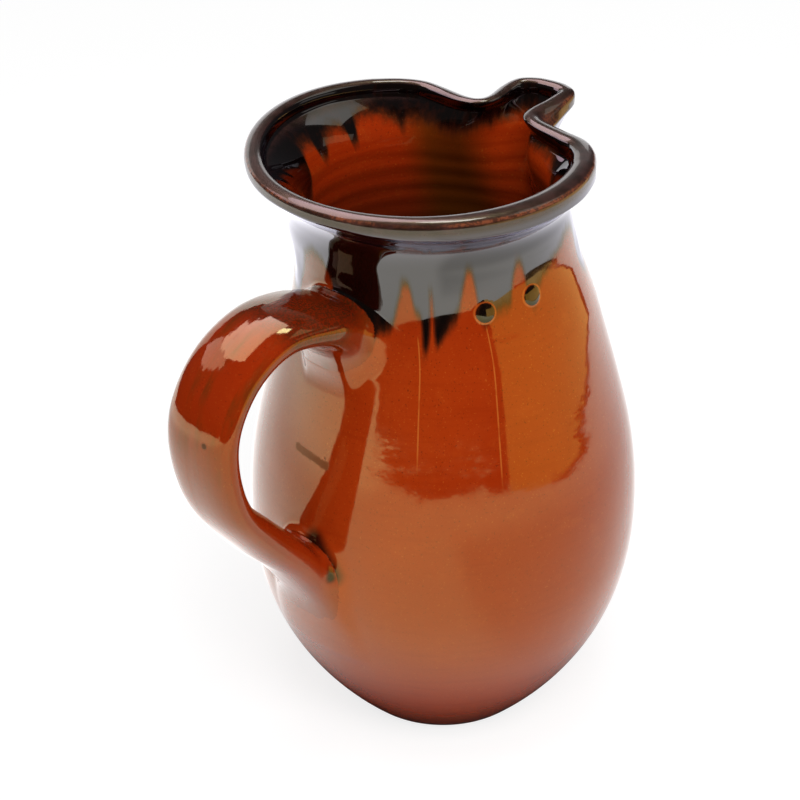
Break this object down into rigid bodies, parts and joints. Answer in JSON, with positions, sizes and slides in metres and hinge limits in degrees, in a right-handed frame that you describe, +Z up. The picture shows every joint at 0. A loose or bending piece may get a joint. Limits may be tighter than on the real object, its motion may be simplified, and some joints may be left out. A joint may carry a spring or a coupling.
{
  "type": "clay jug",
  "caption": "Glazed clay jug with a round belly, flared neck, pinched pouring spout and a strap handle opposite the spout.",
  "frame": {"origin": "centre of the foot, on the plane that the jug stands on", "axes": "+Z up, +X out of the pouring spout, so the handle is on the -X side"},
  "size_m": [0.1748, 0.1292, 0.2069],
  "materials": {
    "body_glaze": "glossy honey-brown glaze over red clay",
    "handle_glaze": "glossy honey-brown glaze over red clay",
    "joint_glaze": "glossy honey-brown glaze over luting clay",
    "dark_glaze": "glossy near-black brown glaze"
  },
  "bodies": {
    "root": {"jug_body": "body_glaze", "handle": "handle_glaze", "upper_joint_clay": "joint_glaze", "lower_joint_clay": "joint_glaze", "rim_glaze": "dark_glaze", "glaze_run_left": "dark_glaze", "glaze_run_right": "dark_glaze", "glaze_bead_left": "dark_glaze", "glaze_bead_right": "dark_glaze"}
  },
  "joints": []
}
